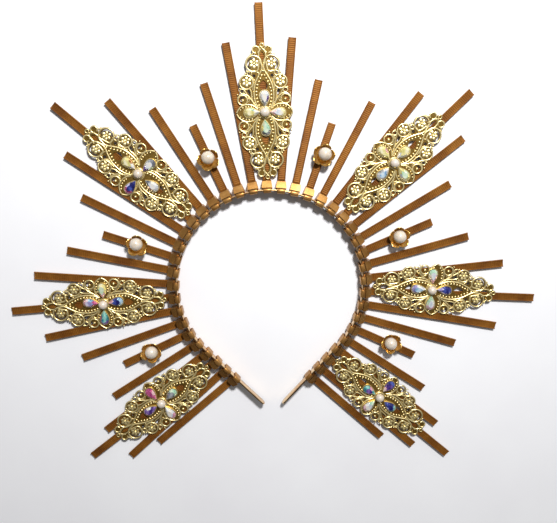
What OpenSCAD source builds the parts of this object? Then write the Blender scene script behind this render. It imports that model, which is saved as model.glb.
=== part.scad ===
// Halo crown: a metal headband with forty-one cable ties looped round it as rays, seven pierced
// filigree settings with drop crystals and a pearl, and six pearls in flower caps.
// The crown lies on its back: +Z is its front, +Y the top of the halo, sizes in millimetres.

/* [Headband] */
// radius of the band's centre line
band_r = 58.5; // [56:0.5:62]
// thickness of the metal strip
band_t = 1.0; // [0.8:0.1:1.2]
// depth of the strip from back edge to front edge
band_d = 5.2; // [4.8:0.1:5.4]
// straight length of each free leg
leg_len = 54; // [46:1:55]

/* [Cable ties] */
// width of a strap
tie_w = 4.7; // [4.2:0.1:5]
// width of a head beside the band
head_w = 6.4; // [5.8:0.1:6.6]
// reach of the seven longest ties beyond the band
reach_centre = 108.5; // [104:0.5:114]
// reach of the fourteen long ties
reach_long = 89; // [86:0.5:92]
// reach of the fourteen medium ties
reach_medium = 68.5; // [66:0.5:71]
// reach of the six short ties that carry a pearl
reach_short = 48.5; // [46:0.5:51]
// spacing of the ladder ribs along a strap
rib_pitch = 2.0; // [1.8:0.1:2.6]

/* [Filigrees] */
// thickness of the pierced plate
plate_t = 0.7; // [0.6:0.1:0.9]
// height of the raised scroll work above the plate
relief_t = 0.45; // [0.3:0.05:0.5]
// height of the collars round the stones above the plate
collar_t = 0.95; // [0.8:0.05:1.1]

/* [Stones and pearls] */
// length of a drop crystal
drop_len = 9.2; // [8.6:0.1:9.4]
// width of a drop crystal
drop_w = 5.6; // [5:0.1:5.8]
// height of a drop crystal
drop_h = 2.7; // [2.2:0.1:3.2]
// diameter of the pearl in the middle of a filigree
centre_pearl_d = 5.5; // [5:0.1:5.6]
// diameter of the pearl in a flower cap
cap_pearl_d = 8; // [7.6:0.1:8.2]

/* [Hidden] */
// band path: half circle, short straight side, lower arc, straight leg
side_len = 3;
leg_turn = 133;
tie_pitch = 8.35;
middle_tie = 21;
tie_total = 41;
quarter_len = band_r * PI / 2;
low_len = band_r * PI / 180 * (leg_turn - 90);
// the fan leans the rays toward the top by this much at the sides
fan_lean = 6.5;

// heights of the layers, from the plane that the crown lies on
tail_z = 1.5;
tail_t = 1.2;
tail_top = tail_z + tail_t;
band_z = 2.9;
strap_t = 0.85;
// room between a loop and the band in front, inside and at the head, and the loop's soft corners
front_gap = 0.3;
inner_gap = 0.17;
head_gap = 0.12;
loop_soft = 1.3;
hole_soft = 0.35;
loop_top = band_z + band_d + front_gap + strap_t;
// a head is widest and highest beside the loop, with a narrow gap behind the strap in front
head_len = 4.9;
head_h = 8.4;
head_far_h = 6.4;
head_far_w = 5.5;
head_step = 5.2;
loop_gap = 0.35;
seat_gap = 0.08;
stone_gap = 0.05;
plate_z = tail_top + seat_gap;
plate_top = plate_z + plate_t;
stone_z = plate_top + stone_gap;
collar_out = 0.65;
sink = 0.05;

// each row is one place counted from the middle tie outward:
// lean of the left tie, lean of the right tie (degrees away from the top),
// trim of the left tie, trim of the right tie (mm added to its reach)
hand = [
    [1.0, -1.0, -1.0, -1.0],
    [1.5, -1.5, -1.5, 0.0],
    [1.5, -1.0, 0.0, -0.5],
    [1.0, -2.0, 0.0, -2.0],
    [1.5, -0.5, 0.0, -1.0],
    [1.5, 2.0, -1.0, -1.0],
    [3.5, 2.5, 0.5, 0.5],
    [2.5, 0.5, -1.5, 0.0],
    [2.0, 0.5, -0.5, 0.0],
    [2.5, 0.5, 0.5, 1.0],
    [1.5, 0.5, 0.5, 1.0],
    [1.0, 2.0, 0.0, 1.0],
    [4.5, 5.5, -3.0, 3.0],
    [3.5, 4.5, 0.0, 1.5],
    [3.0, 2.5, 3.0, 0.0],
    [0.5, 2.5, 1.0, -1.5],
    [-1.0, 2.5, 0.0, -3.0],
    [-1.0, 2.0, 0.0, 0.5],
    [-1.0, 4.0, 1.0, 2.5],
    [4.0, 5.0, 2.0, -0.5],
    [2.0, 6.0, 2.0, -0.5],
];

// each row is one filigree: its tie, distance of its middle from the band, offset to the
// tie's right, turn about its middle in degrees
filigree_rows = [
    [3, 47.6, 0.6, 0],
    [9, 47.0, 0.2, -1.5],
    [15, 46.3, 1.6, 0.5],
    [21, 45.8, 0.7, 0],
    [27, 47.4, -1.9, 1],
    [33, 46.3, -3.0, -1],
    [39, 46.4, -1.9, -0.5],
];

// each row is the stones of one filigree, glued by hand: the place of its pearl along and
// across the plate, then the places of its four drops and the turn of each in degrees
stone_rows = [
    [[0.4, 0.3], [9.3, -0.4, -6], [0.6, 8.6, 88], [-8.2, -0.5, 190], [1.4, -8.7, 273]],
    [[0.1, 0.4], [7.9, -1.0, -6], [0.5, 9.0, 87], [-7.8, -0.8, 186], [-0.1, -8.6, 270]],
    [[-0.3, 0.2], [7.5, -0.9, -1], [-1.7, 9.3, 90], [-10.6, 0.6, 182], [-2.1, -7.4, 262]],
    [[0.2, -0.1], [8.1, -0.3, 0], [0.3, 7.5, 93], [-8.8, -0.2, 184], [-0.2, -7.7, 265]],
    [[0.3, 0], [8.0, 0.7, -5], [0.1, 8.9, 88], [-8.7, 0.3, 181], [-0.4, -8.7, 262]],
    [[-1.9, 0], [6.1, 0.2, -3], [-2.2, 8.9, 94], [-10.2, 0.1, 182], [-1.7, -8.4, 269]],
    [[0, -0.4], [9.4, -0.9, -2], [-0.6, 8.7, 84], [-8.2, -1.3, 187], [-1.0, -9.2, 264]],
];

// each row is one flower cap: its tie, distance of the pearl from the band and its offset to
// the tie's right, then the same two for the middle of the cap
cap_rows = [
    [6, 28.6, 0.5, 29.1, 0.4],
    [12, 27.5, 1.6, 26.9, 0.8],
    [18, 27.8, 0.3, 26.8, 0],
    [24, 28.2, 1.4, 27.3, 1.0],
    [30, 27.2, -0.5, 26.9, 0.1],
    [36, 28.0, -1.8, 28.6, -1.8],
];

function side_of(k) = k < middle_tie ? -1 : 1;
function row_of(k) = abs(k - middle_tie);

function normal_at(s) =
    s <= quarter_len ? s / band_r * 180 / PI
    : s <= quarter_len + side_len ? 90
    : s <= quarter_len + side_len + low_len ? 90 + (s - quarter_len - side_len) / band_r * 180 / PI
    : leg_turn;

function root_at(s) =
    let (n = normal_at(s), drop = s <= quarter_len ? 0 : min(side_len, s - quarter_len))
    let (w = max(0, s - quarter_len - side_len - low_len))
    [band_r * sin(n) + w * cos(n), band_r * cos(n) - drop - w * sin(n)];

function skew_of(k) =
    let (n = normal_at(row_of(k) * tie_pitch))
    hand[row_of(k)][k < middle_tie ? 0 : 1] - fan_lean * sin(n);

function heading_of(k) = normal_at(row_of(k) * tie_pitch) + skew_of(k);

function base_reach(k) =
    let (m = row_of(k) % 6)
    m == 0 ? reach_centre : m == 3 ? reach_short : m == 1 || m == 5 ? reach_long : reach_medium;

function reach_of(k) = base_reach(k) + hand[row_of(k)][k < middle_tie ? 2 : 3];

// a point across and along a tie, in the plane of the crown
function on_tie(k, across, along) =
    let (p = root_at(row_of(k) * tie_pitch), a = heading_of(k), m = side_of(k))
    [m * (p[0] + along * sin(a)) + across * cos(a), p[1] + along * cos(a) - m * across * sin(a)];

corners = [for (k = [1:tie_total], e = [-1, 1]) on_tie(k, e * tie_w / 2, reach_of(k))];
xs = [for (c = corners) c[0]];
ys = [for (c = corners) c[1]];
middle = [(min(xs) + max(xs)) / 2, (min(ys) + max(ys)) / 2];

function arc_points(x, y, r, from, to, steps) =
    [for (i = [0:steps]) let (a = from + (to - from) * i / steps) [x + r * cos(a), y + r * sin(a)]];

function soft_box(x0, y0, x1, y1, r, steps) = concat(
    arc_points(x1 - r, y1 - r, r, 0, 90, steps),
    arc_points(x0 + r, y1 - r, r, 90, 180, steps),
    arc_points(x0 + r, y0 + r, r, 180, 270, steps),
    arc_points(x1 - r, y0 + r, r, 270, 360, steps)
);

// outline of a pear-shaped drop, point toward -y, widened by grow on every side
function pear(len, wide, grow, n) =
    [for (i = [0:n - 1])
        let (t = 360 * i / n)
        [-(wide / 2 + grow) * 1.299 * sin(t) * sin(t / 2), -(len / 2 + grow) * cos(t)]];

// outline of a leaf between two arcs, from x0 to x1, half as wide as given at its middle
function leaf(x0, x1, half, n) = concat(
    [for (i = [0:n]) let (t = i / n) [x0 + (x1 - x0) * t, half * sin(180 * t)]],
    [for (i = [1:n - 1]) let (t = 1 - i / n) [x0 + (x1 - x0) * t, -half * sin(180 * t)]]
);

module place() {
    translate([-middle[0], -middle[1], 0]) {
        children();
    }
}

module along_tie(k) {
    p = root_at(row_of(k) * tie_pitch);
    place() {
        translate([side_of(k) * p[0], p[1], 0]) {
            rotate([0, 0, -side_of(k) * heading_of(k)]) {
                children();
            }
        }
    }
}

// the band: one strip bent on edge, with rounded ends
band_len = quarter_len + side_len + low_len + leg_len;
stations = concat(
    [for (i = [0:30]) quarter_len * i / 30],
    [for (i = [0:14]) quarter_len + side_len + low_len * i / 14],
    [band_len]
);

function beside_band(s, out, side) =
    let (p = root_at(s), n = normal_at(s))
    [side * (p[0] + out * sin(n)), p[1] + out * cos(n)];

function band_side(out) = concat(
    [for (i = [len(stations) - 1:-1:1]) beside_band(stations[i], out, -1)],
    [for (s = stations) beside_band(s, out, 1)]
);

module band_end_cut() {
    start = root_at(band_len);
    r = band_d / 2;
    translate([start[0], start[1], 0]) {
        rotate([90, 0, -leg_turn]) {
            translate([0, 0, -band_t]) {
                linear_extrude(2 * band_t) {
                    polygon(concat(
                        [[-r, -1], [1, -1], [1, band_d + 1], [-r, band_d + 1]],
                        arc_points(-r, r, r, 90, -90, 14)
                    ));
                }
            }
        }
    }
}

module headband() {
    outer = band_side(band_t / 2);
    inner = band_side(-band_t / 2);
    color("#B08A48") {
        place() {
            translate([0, 0, band_z]) {
                difference() {
                    linear_extrude(band_d) {
                        polygon(concat(outer, [for (i = [len(inner) - 1:-1:0]) inner[i]]));
                    }
                    band_end_cut();
                    mirror([1, 0, 0]) {
                        band_end_cut();
                    }
                }
            }
        }
    }
}

// one cable tie:
// the strap leaves the head's front, bends over the band, comes back under it and out
// through the head as the ray, ladder side to the front
module strap_loop(inner, outer) {
    hole = soft_box(-inner, tail_top, outer, loop_top - strap_t, hole_soft, 3);
    rim = soft_box(-inner - strap_t, tail_z, outer + strap_t, loop_top, loop_soft, 6);
    rotate([90, 0, 90]) {
        translate([0, 0, -tie_w / 2]) {
            linear_extrude(tie_w) {
                polygon(
                    concat(rim, hole),
                    [[for (i = [0:len(rim) - 1]) i], [for (i = [0:len(hole) - 1]) len(rim) + i]]
                );
            }
        }
    }
}

module head_block(wall, near, far) {
    c = 0.4;
    w = head_w / 2;
    v = head_far_w / 2;
    fall = (head_h - head_far_h) / (far - near);
    intersection() {
        linear_extrude(head_h + 1) {
            polygon([
                [-w, wall], [w, wall], [w, near], [v, far - c],
                [v - c, far], [c - v, far], [-v, far - c], [-w, near],
            ]);
        }
        rotate([90, 0, 90]) {
            translate([0, 0, -w - 1]) {
                linear_extrude(head_w + 2) {
                    polygon([
                        [wall - 1, -1], [far + 1, -1], [far + 1, head_far_h - fall],
                        [near, head_h], [near, head_step], [wall - 1, head_step],
                    ]);
                }
            }
        }
    }
}

// the ray leaves the head through a slot with a little room round it
module head(wall) {
    slot_start = wall + 3;
    room = 0.25;
    room_below = 0.2;
    difference() {
        head_block(wall, wall + strap_t + loop_gap, wall + head_len);
        translate([-tie_w / 2 - room, slot_start, tail_z - room_below]) {
            cube([tie_w + 2 * room, head_len, tail_t + room_below + room]);
        }
    }
}

module ladder(from, to) {
    rail = 0.7;
    floor_z = tail_z + 0.55;
    rib_z = tail_top - 0.1;
    ribs = floor((to - from) / rib_pitch) - 1;
    teeth = [for (i = [0:ribs], q = [0, 1])
        let (y = from + i * rib_pitch)
        q == 0 ? [y + 0.5, floor_z] : [y + 0.8, rib_z]];
    rotate([90, 0, 90]) {
        translate([0, 0, -tie_w / 2 + rail / 2]) {
            linear_extrude(tie_w - rail) {
                polygon(concat([[to, floor_z], [to, tail_z], [from, tail_z], [from, floor_z]], teeth));
            }
        }
    }
    for (e = [-1, 1]) {
        translate([e * (tie_w - rail) / 2 - rail / 2, from - 1, tail_z]) {
            cube([rail, to - from + 1, tail_t]);
        }
    }
}

module tie(k) {
    slant = abs(tan(skew_of(k)));
    inner = band_t / 2 + inner_gap + slant * tie_w / 2;
    wall = band_t / 2 + head_gap + slant * head_w / 2;
    start = wall + 2.5;
    color("#B07C34") {
        along_tie(k) {
            strap_loop(inner, wall);
            head(wall);
            translate([-tie_w / 2, 0, tail_z]) {
                cube([tie_w, start, tail_t]);
            }
            ladder(start - 0.01, reach_of(k));
        }
    }
}

// one filigree:
// u runs along the tie and v across it; every form stands in all four quarters
module quarters() {
    for (a = [-1, 1], b = [-1, 1]) {
        scale([a, b]) {
            children();
        }
    }
}

module ends() {
    for (a = [0, 180]) {
        rotate(a) {
            children();
        }
    }
}

module plate_shape() {
    polygon([
        [38.5, 1.4], [35, 3], [30, 4.5], [25, 7], [20, 9], [13, 11.5], [6, 13], [0, 14],
        [-6, 13], [-13, 11.5], [-20, 9], [-25, 7], [-30, 4.5], [-35, 3], [-38.5, 1.4],
        [-38.5, -1.4], [-35, -3], [-30, -4.5], [-25, -7], [-20, -9], [-13, -11.5], [-6, -13],
        [0, -14], [6, -13], [13, -11.5], [20, -9], [25, -7], [30, -4.5], [35, -3], [38.5, -1.4],
    ]);
    quarters() {
        translate([34.6, 3.3]) {
            circle(r = 1.9, $fn = 20);
        }
        translate([27.5, 5]) {
            circle(r = 4.8, $fn = 32);
        }
        translate([17.5, 10]) {
            circle(r = 4.2, $fn = 32);
        }
        translate([7.5, 13]) {
            circle(r = 3.2, $fn = 28);
        }
    }
    for (b = [-1, 1]) {
        translate([0, b * 15.2]) {
            circle(r = 1.6, $fn = 20);
        }
        translate([b * 38.3, 0]) {
            circle(r = 1.7, $fn = 20);
        }
    }
}

module crescent(r_in, r_out, from, to) {
    polygon(concat(
        arc_points(0, 0, r_out, from, to, 6),
        arc_points(0, 0, r_in, to - 8, from + 8, 6)
    ));
}

module plate_gaps() {
    ends() {
        polygon(leaf(29.6, 35.2, 1.5, 6));
        translate([16.2, 0]) {
            circle(r = 2.2, $fn = 20);
        }
    }
    quarters() {
        translate([27.5, 5]) {
            crescent(2.9, 3.9, -20, 150);
        }
        translate([7.5, 13]) {
            circle(r = 1.7, $fn = 16);
        }
        polygon([[10.6, 7.4], [14.2, 5.6], [14, 9.4], [11.6, 9.8]]);
    }
}

module ring(r_in, r_out) {
    difference() {
        circle(r = r_out, $fn = 32);
        circle(r = r_in, $fn = 32);
    }
}

module rosette() {
    polygon([for (i = [0:11]) let (r = i % 2 == 0 ? 2.5 : 1.7) [r * cos(i * 30), r * sin(i * 30)]]);
}

module relief_shape() {
    quarters() {
        translate([27.5, 5]) {
            ring(4.0, 4.7);
            rosette();
        }
        translate([17.5, 10]) {
            ring(3.4, 4.1);
            rosette();
        }
        translate([7.5, 13]) {
            ring(2.1, 3.1);
        }
    }
    difference() {
        ends() {
            polygon(leaf(3, 24.5, 6.4, 8));
        }
        ends() {
            polygon(leaf(3.6, 23.4, 5.5, 8));
        }
    }
}

module drop_shape(i, grow) {
    for (j = [1:4]) {
        d = stone_rows[i - 1][j];
        translate([d[0], d[1]]) {
            rotate(d[2] - 90) {
                polygon(pear(drop_len, drop_w, grow, 16));
            }
        }
    }
}

module pearl_shape(i, grow) {
    translate(stone_rows[i - 1][0]) {
        circle(r = centre_pearl_d / 2 + grow, $fn = 32);
    }
}

module collar_shape(i) {
    difference() {
        union() {
            drop_shape(i, collar_out);
            pearl_shape(i, 0.5);
        }
        drop_shape(i, 0.12);
        pearl_shape(i, -0.08);
    }
}

module seat_shape(i) {
    drop_shape(i, 0.3);
    pearl_shape(i, 0);
}

module filigree_plate(i) {
    translate([0, 0, plate_z]) {
        linear_extrude(plate_t) {
            difference() {
                plate_shape();
                plate_gaps();
            }
            drop_shape(i, collar_out);
        }
    }
}

module filigree_work(i) {
    filigree_plate(i);
    translate([0, 0, plate_top - sink]) {
        linear_extrude(relief_t + sink) {
            difference() {
                relief_shape();
                seat_shape(i);
            }
        }
        linear_extrude(collar_t + sink) {
            collar_shape(i);
        }
    }
}

module on_filigree(i) {
    r = filigree_rows[i - 1];
    along_tie(r[0]) {
        translate([r[2], r[1], 0]) {
            rotate([0, 0, 90 + r[3]]) {
                children();
            }
        }
    }
}

module filigree(i) {
    color("#D9B65A") {
        on_filigree(i) {
            filigree_work(i);
        }
    }
}

// drop crystals:
// flat back, girdle and a table, with facets between them
module drop() {
    n = 14;
    back = [for (p = pear(drop_len * 0.86, drop_w * 0.84, 0, n)) [p[0], p[1], 0]];
    girdle = [for (p = pear(drop_len, drop_w, 0, n)) [p[0], p[1], drop_h * 0.38]];
    table = [for (p = pear(drop_len * 0.56, drop_w * 0.56, 0, n)) [p[0], p[1] + 0.3, drop_h]];
    lower = [for (i = [0:n - 1], q = [0, 1])
        let (j = (i + 1) % n)
        q == 0 ? [i, n + j, j] : [i, n + i, n + j]];
    upper = [for (i = [0:n - 1], q = [0, 1])
        let (j = (i + 1) % n)
        q == 0 ? [n + i, 2 * n + j, n + j] : [n + i, 2 * n + i, 2 * n + j]];
    polyhedron(
        concat(back, girdle, table),
        concat([[for (i = [0:n - 1]) i]], lower, upper, [[for (i = [0:n - 1]) 3 * n - 1 - i]])
    );
}

module crystals(i) {
    color("#BFD4E6") {
        on_filigree(i) {
            for (j = [1:4]) {
                d = stone_rows[i - 1][j];
                translate([d[0], d[1], stone_z]) {
                    rotate([0, 0, d[2] - 90]) {
                        drop();
                    }
                }
            }
        }
    }
}

// pearls and flower caps:
// the middle pearls have a flat back and sit inside a collar
module centre_pearls() {
    r = centre_pearl_d / 2;
    flat = 1.95;
    color("#F1E8D2") {
        for (i = [1:len(filigree_rows)]) {
            p = stone_rows[i - 1][0];
            on_filigree(i) {
                translate([p[0], p[1], stone_z]) {
                    intersection() {
                        translate([0, 0, flat]) {
                            sphere(r = r, $fn = 48);
                        }
                        translate([-r - 1, -r - 1, 0]) {
                            cube([2 * r + 2, 2 * r + 2, 2 * r + 2]);
                        }
                    }
                }
            }
        }
    }
}

module on_caps(along) {
    for (r = cap_rows) {
        along_tie(r[0]) {
            translate([r[along + 1], r[along], plate_z]) {
                children();
            }
        }
    }
}

// the cap is a deep cup of five petals that stand up round the pearl
cap_floor = 0.4;
petal_r = 2.55;
petal_out = 3.55;
petal_tip = 5.6;

module flower_cap() {
    intersection() {
        rotate_extrude($fn = 60) {
            polygon([
                [0, 0], [2.4, 0], [4.5, 1.3], [5.7, 3.3], [6.1, petal_tip],
                [5.7, petal_tip], [5.3, 3.5], [4.25, 1.7], [2.25, cap_floor], [0, cap_floor],
            ]);
        }
        linear_extrude(petal_tip + 1) {
            circle(r = 2.6, $fn = 40);
            for (i = [0:4]) {
                rotate(i * 72) {
                    translate([0, petal_out]) {
                        circle(r = petal_r, $fn = 32);
                    }
                }
            }
        }
    }
}

module flower_caps() {
    color("#D89E38") {
        on_caps(3) {
            flower_cap();
        }
    }
}

module cap_pearls() {
    color("#F1E8D2") {
        on_caps(1) {
            translate([0, 0, cap_floor + stone_gap + cap_pearl_d / 2]) {
                sphere(d = cap_pearl_d, $fn = 60);
            }
        }
    }
}

module tie_01() {
    tie(1);
}

module tie_02() {
    tie(2);
}

module tie_03() {
    tie(3);
}

module tie_04() {
    tie(4);
}

module tie_05() {
    tie(5);
}

module tie_06() {
    tie(6);
}

module tie_07() {
    tie(7);
}

module tie_08() {
    tie(8);
}

module tie_09() {
    tie(9);
}

module tie_10() {
    tie(10);
}

module tie_11() {
    tie(11);
}

module tie_12() {
    tie(12);
}

module tie_13() {
    tie(13);
}

module tie_14() {
    tie(14);
}

module tie_15() {
    tie(15);
}

module tie_16() {
    tie(16);
}

module tie_17() {
    tie(17);
}

module tie_18() {
    tie(18);
}

module tie_19() {
    tie(19);
}

module tie_20() {
    tie(20);
}

module tie_21() {
    tie(21);
}

module tie_22() {
    tie(22);
}

module tie_23() {
    tie(23);
}

module tie_24() {
    tie(24);
}

module tie_25() {
    tie(25);
}

module tie_26() {
    tie(26);
}

module tie_27() {
    tie(27);
}

module tie_28() {
    tie(28);
}

module tie_29() {
    tie(29);
}

module tie_30() {
    tie(30);
}

module tie_31() {
    tie(31);
}

module tie_32() {
    tie(32);
}

module tie_33() {
    tie(33);
}

module tie_34() {
    tie(34);
}

module tie_35() {
    tie(35);
}

module tie_36() {
    tie(36);
}

module tie_37() {
    tie(37);
}

module tie_38() {
    tie(38);
}

module tie_39() {
    tie(39);
}

module tie_40() {
    tie(40);
}

module tie_41() {
    tie(41);
}

module filigree_1() {
    filigree(1);
}

module filigree_2() {
    filigree(2);
}

module filigree_3() {
    filigree(3);
}

module filigree_4() {
    filigree(4);
}

module filigree_5() {
    filigree(5);
}

module filigree_6() {
    filigree(6);
}

module filigree_7() {
    filigree(7);
}

module crystals_1() {
    crystals(1);
}

module crystals_2() {
    crystals(2);
}

module crystals_3() {
    crystals(3);
}

module crystals_4() {
    crystals(4);
}

module crystals_5() {
    crystals(5);
}

module crystals_6() {
    crystals(6);
}

module crystals_7() {
    crystals(7);
}

union() {
    headband();
}
union() {
    tie_01();
}
union() {
    tie_02();
}
union() {
    tie_03();
}
union() {
    tie_04();
}
union() {
    tie_05();
}
union() {
    tie_06();
}
union() {
    tie_07();
}
union() {
    tie_08();
}
union() {
    tie_09();
}
union() {
    tie_10();
}
union() {
    tie_11();
}
union() {
    tie_12();
}
union() {
    tie_13();
}
union() {
    tie_14();
}
union() {
    tie_15();
}
union() {
    tie_16();
}
union() {
    tie_17();
}
union() {
    tie_18();
}
union() {
    tie_19();
}
union() {
    tie_20();
}
union() {
    tie_21();
}
union() {
    tie_22();
}
union() {
    tie_23();
}
union() {
    tie_24();
}
union() {
    tie_25();
}
union() {
    tie_26();
}
union() {
    tie_27();
}
union() {
    tie_28();
}
union() {
    tie_29();
}
union() {
    tie_30();
}
union() {
    tie_31();
}
union() {
    tie_32();
}
union() {
    tie_33();
}
union() {
    tie_34();
}
union() {
    tie_35();
}
union() {
    tie_36();
}
union() {
    tie_37();
}
union() {
    tie_38();
}
union() {
    tie_39();
}
union() {
    tie_40();
}
union() {
    tie_41();
}
union() {
    filigree_1();
}
union() {
    filigree_2();
}
union() {
    filigree_3();
}
union() {
    filigree_4();
}
union() {
    filigree_5();
}
union() {
    filigree_6();
}
union() {
    filigree_7();
}
union() {
    crystals_1();
}
union() {
    crystals_2();
}
union() {
    crystals_3();
}
union() {
    crystals_4();
}
union() {
    crystals_5();
}
union() {
    crystals_6();
}
union() {
    crystals_7();
}
union() {
    centre_pearls();
}
union() {
    flower_caps();
}
union() {
    cap_pearls();
}
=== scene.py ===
import math

import bpy
from mathutils import Matrix, Vector


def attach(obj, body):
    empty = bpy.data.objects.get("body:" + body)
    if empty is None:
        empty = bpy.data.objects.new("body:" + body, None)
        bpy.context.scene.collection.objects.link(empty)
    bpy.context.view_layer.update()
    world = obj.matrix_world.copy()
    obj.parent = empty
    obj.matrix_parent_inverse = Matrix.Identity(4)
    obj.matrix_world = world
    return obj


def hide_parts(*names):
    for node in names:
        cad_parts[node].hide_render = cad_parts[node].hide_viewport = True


# lengths are in metres, except where a comment or MM says millimetres
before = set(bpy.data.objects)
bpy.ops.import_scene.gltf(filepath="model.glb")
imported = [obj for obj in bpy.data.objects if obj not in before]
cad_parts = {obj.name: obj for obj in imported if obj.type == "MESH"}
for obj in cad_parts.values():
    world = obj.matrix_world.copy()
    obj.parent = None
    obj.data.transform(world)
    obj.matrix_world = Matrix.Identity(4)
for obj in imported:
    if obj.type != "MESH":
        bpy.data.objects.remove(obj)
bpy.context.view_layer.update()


# Headband: a narrow strip of spring steel, gold plated and bent the easy way, its width standing, to a
# horseshoe that ends in two straight legs. Its ends are rounded over, its slit edges a little softened.
RING_CENTRE = Vector((-0.0029525, -0.0191734, 0.0))
BAND_RADIUS = 0.0585
BAND_THICK = 0.0010
BAND_DEPTH = 0.0052
BAND_BACK = 0.0029
SIDE_LENGTH = 0.003
LEG_TURN = 133.0
LEG_LENGTH = 0.054
GOLD_PLATE = "#E8CBA0"
GOLD_PLATE_WORN = "#CFA87C"
# the slit edges' darker, browner plate colours are painted shade
EDGE_PLATE = "#D2AE7C"
EDGE_PLATE_WORN = "#AD8454"
BAND_EDGE = 0.0002
BEND_STEPS = 60
LEG_BEND_STEPS = 28
# corners sharper than this are softened where a piece is bevelled with soften
SHARP = math.radians(50)


def pick(*objects):
    """Selects these objects alone and makes the first one active."""
    bpy.ops.object.select_all(action="DESELECT")
    for obj in objects:
        obj.select_set(True)
    bpy.context.view_layer.objects.active = objects[0]


def shape(obj):
    """Opens the piece in edit mode."""
    pick(obj)
    bpy.ops.object.mode_set(mode="EDIT")


def choose(obj, kind, test):
    """Selects, in edit mode, the vertices, edges or faces whose middle passes the test."""
    bpy.ops.mesh.select_mode(type={"verts": "VERT", "edges": "EDGE", "faces": "FACE"}[kind])
    bpy.ops.mesh.select_all(action="DESELECT")
    bpy.ops.object.mode_set(mode="OBJECT")
    mesh = obj.data
    for part in getattr(mesh, {"verts": "vertices", "edges": "edges", "faces": "polygons"}[kind]):
        if kind == "verts":
            part.select = bool(test(part.co, part))
        elif kind == "edges":
            a, b = (mesh.vertices[i].co for i in part.vertices)
            part.select = bool(test((a + b) / 2, (b - a)))
        else:
            part.select = bool(test(part.center, part.normal))
    bpy.ops.object.mode_set(mode="EDIT")


def draw_out(*way):
    """Extrudes what is selected."""
    bpy.ops.mesh.extrude_region_move(TRANSFORM_OT_translate={"value": way})


def face_outward():
    bpy.ops.mesh.select_all(action="SELECT")
    bpy.ops.mesh.normals_make_consistent(inside=False)


def apply_modifier(obj, kind, **settings):
    modifier = obj.modifiers.new(kind.title(), kind)
    for name, value in settings.items():
        setattr(modifier, name, value)
    pick(obj)
    bpy.ops.object.modifier_apply(modifier=modifier.name)


def soften(obj, width):
    """Bevels the piece's sharp edges."""
    apply_modifier(obj, "BEVEL", width=width, segments=2, limit_method="ANGLE", angle_limit=SHARP)


def settle(obj):
    """Moves the piece's place into its mesh."""
    pick(obj)
    bpy.ops.object.transform_apply(location=True, rotation=True, scale=True)


def copy_of(pattern, stand=None):
    """A copy with its own mesh, moved to its stand."""
    twin = pattern.copy()
    twin.data = pattern.data.copy()
    bpy.context.collection.objects.link(twin)
    if stand:
        twin.matrix_world = stand
        settle(twin)
    return twin


def join(parts, name):
    """Makes the parts one object, the first of them, with this name."""
    pick(*parts)
    bpy.ops.object.join()
    parts[0].name = name
    return parts[0]


def linear(hex_colour):
    """An sRGB hex colour in linear light."""
    channels = [int(hex_colour[i : i + 2], 16) / 255 for i in (1, 3, 5)]
    return [c / 12.92 if c <= 0.04045 else ((c + 0.055) / 1.055) ** 2.4 for c in channels] + [1.0]


def add_node(tree, kind, inputs=None, links=None, **settings):
    node = tree.nodes.new(kind)
    for name, value in settings.items():
        setattr(node, name, value)
    for name, value in (inputs or {}).items():
        node.inputs[name].default_value = value
    for name, source in (links or {}).items():
        tree.links.new(source, node.inputs[name])
    return node


def new_material(name):
    material = bpy.data.materials.new(name)
    material.use_nodes = True
    return material, material.node_tree, material.node_tree.nodes["Principled BSDF"]


def colour_ramp(tree, factor, *stops):
    ramp = add_node(tree, "ShaderNodeValToRGB", links={"Fac": factor})
    elements = ramp.color_ramp.elements
    while len(elements) < len(stops):
        elements.new(0.5)
    for element, (place, colour) in zip(elements, stops):
        element.position = place
        element.color = linear(colour)
    return ramp.outputs["Color"]


# gold-plated spring steel: satin, with faint rubbing marks and thinner plate in patches; the slit
# edges are given a darker, browner plate colour: painted shade
def plated_steel(name, wear_and_shade, whole):
    material, tree, shader = new_material(name)
    place = add_node(tree, "ShaderNodeTexCoord").outputs["Object"]
    # rubbed patches are about 6 mm across, rubbing marks 0.2 to 0.4 mm
    patches = add_node(tree, "ShaderNodeTexNoise", {"Scale": 160.0, "Detail": 3.0}, {"Vector": place})
    scratches = add_node(tree, "ShaderNodeTexNoise", {"Scale": 2600.0, "Detail": 2.0}, {"Vector": place})
    tree.links.new(colour_ramp(tree, patches.outputs["Fac"], (0.35, wear_and_shade), (0.6, whole)),
                   shader.inputs["Base Color"])
    bump = add_node(tree, "ShaderNodeBump", {"Strength": 0.25, "Distance": 0.00004},
                    {"Height": scratches.outputs["Fac"]})
    tree.links.new(bump.outputs["Normal"], shader.inputs["Normal"])
    shader.inputs["Metallic"].default_value = 1.0
    shader.inputs["Roughness"].default_value = 0.3
    return material


band_metal = plated_steel("gold_plated_spring_steel", GOLD_PLATE_WORN, GOLD_PLATE)
edge_metal_painted_shade = plated_steel("slit_edge_plate_painted_shade", EDGE_PLATE_WORN, EDGE_PLATE)

bpy.ops.mesh.primitive_plane_add(size=1, location=(0, BAND_RADIUS, BAND_BACK + BAND_DEPTH / 2),
                                 rotation=(0, math.pi / 2, 0))
band = bpy.context.object
band.name = "headband_strip"
band.scale = (BAND_DEPTH, BAND_THICK, 1)
settle(band)
shape(band)
bpy.ops.mesh.select_all(action="SELECT")
bpy.ops.mesh.spin(steps=BEND_STEPS, angle=math.pi / 2, center=(0, 0, 0), axis=(0, 0, 1))
draw_out(0, -SIDE_LENGTH, 0)
bpy.ops.mesh.spin(steps=LEG_BEND_STEPS, angle=math.radians(LEG_TURN - 90), center=(0, -SIDE_LENGTH, 0),
                  axis=(0, 0, 1))
leg_way = Vector((math.cos(math.radians(LEG_TURN)), -math.sin(math.radians(LEG_TURN)), 0))
draw_out(*leg_way * LEG_LENGTH)
choose(band, "faces", lambda middle, normal: abs(middle.x) < 1e-6)
bpy.ops.mesh.delete(type="FACE")
bpy.ops.object.mode_set(mode="OBJECT")
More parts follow.
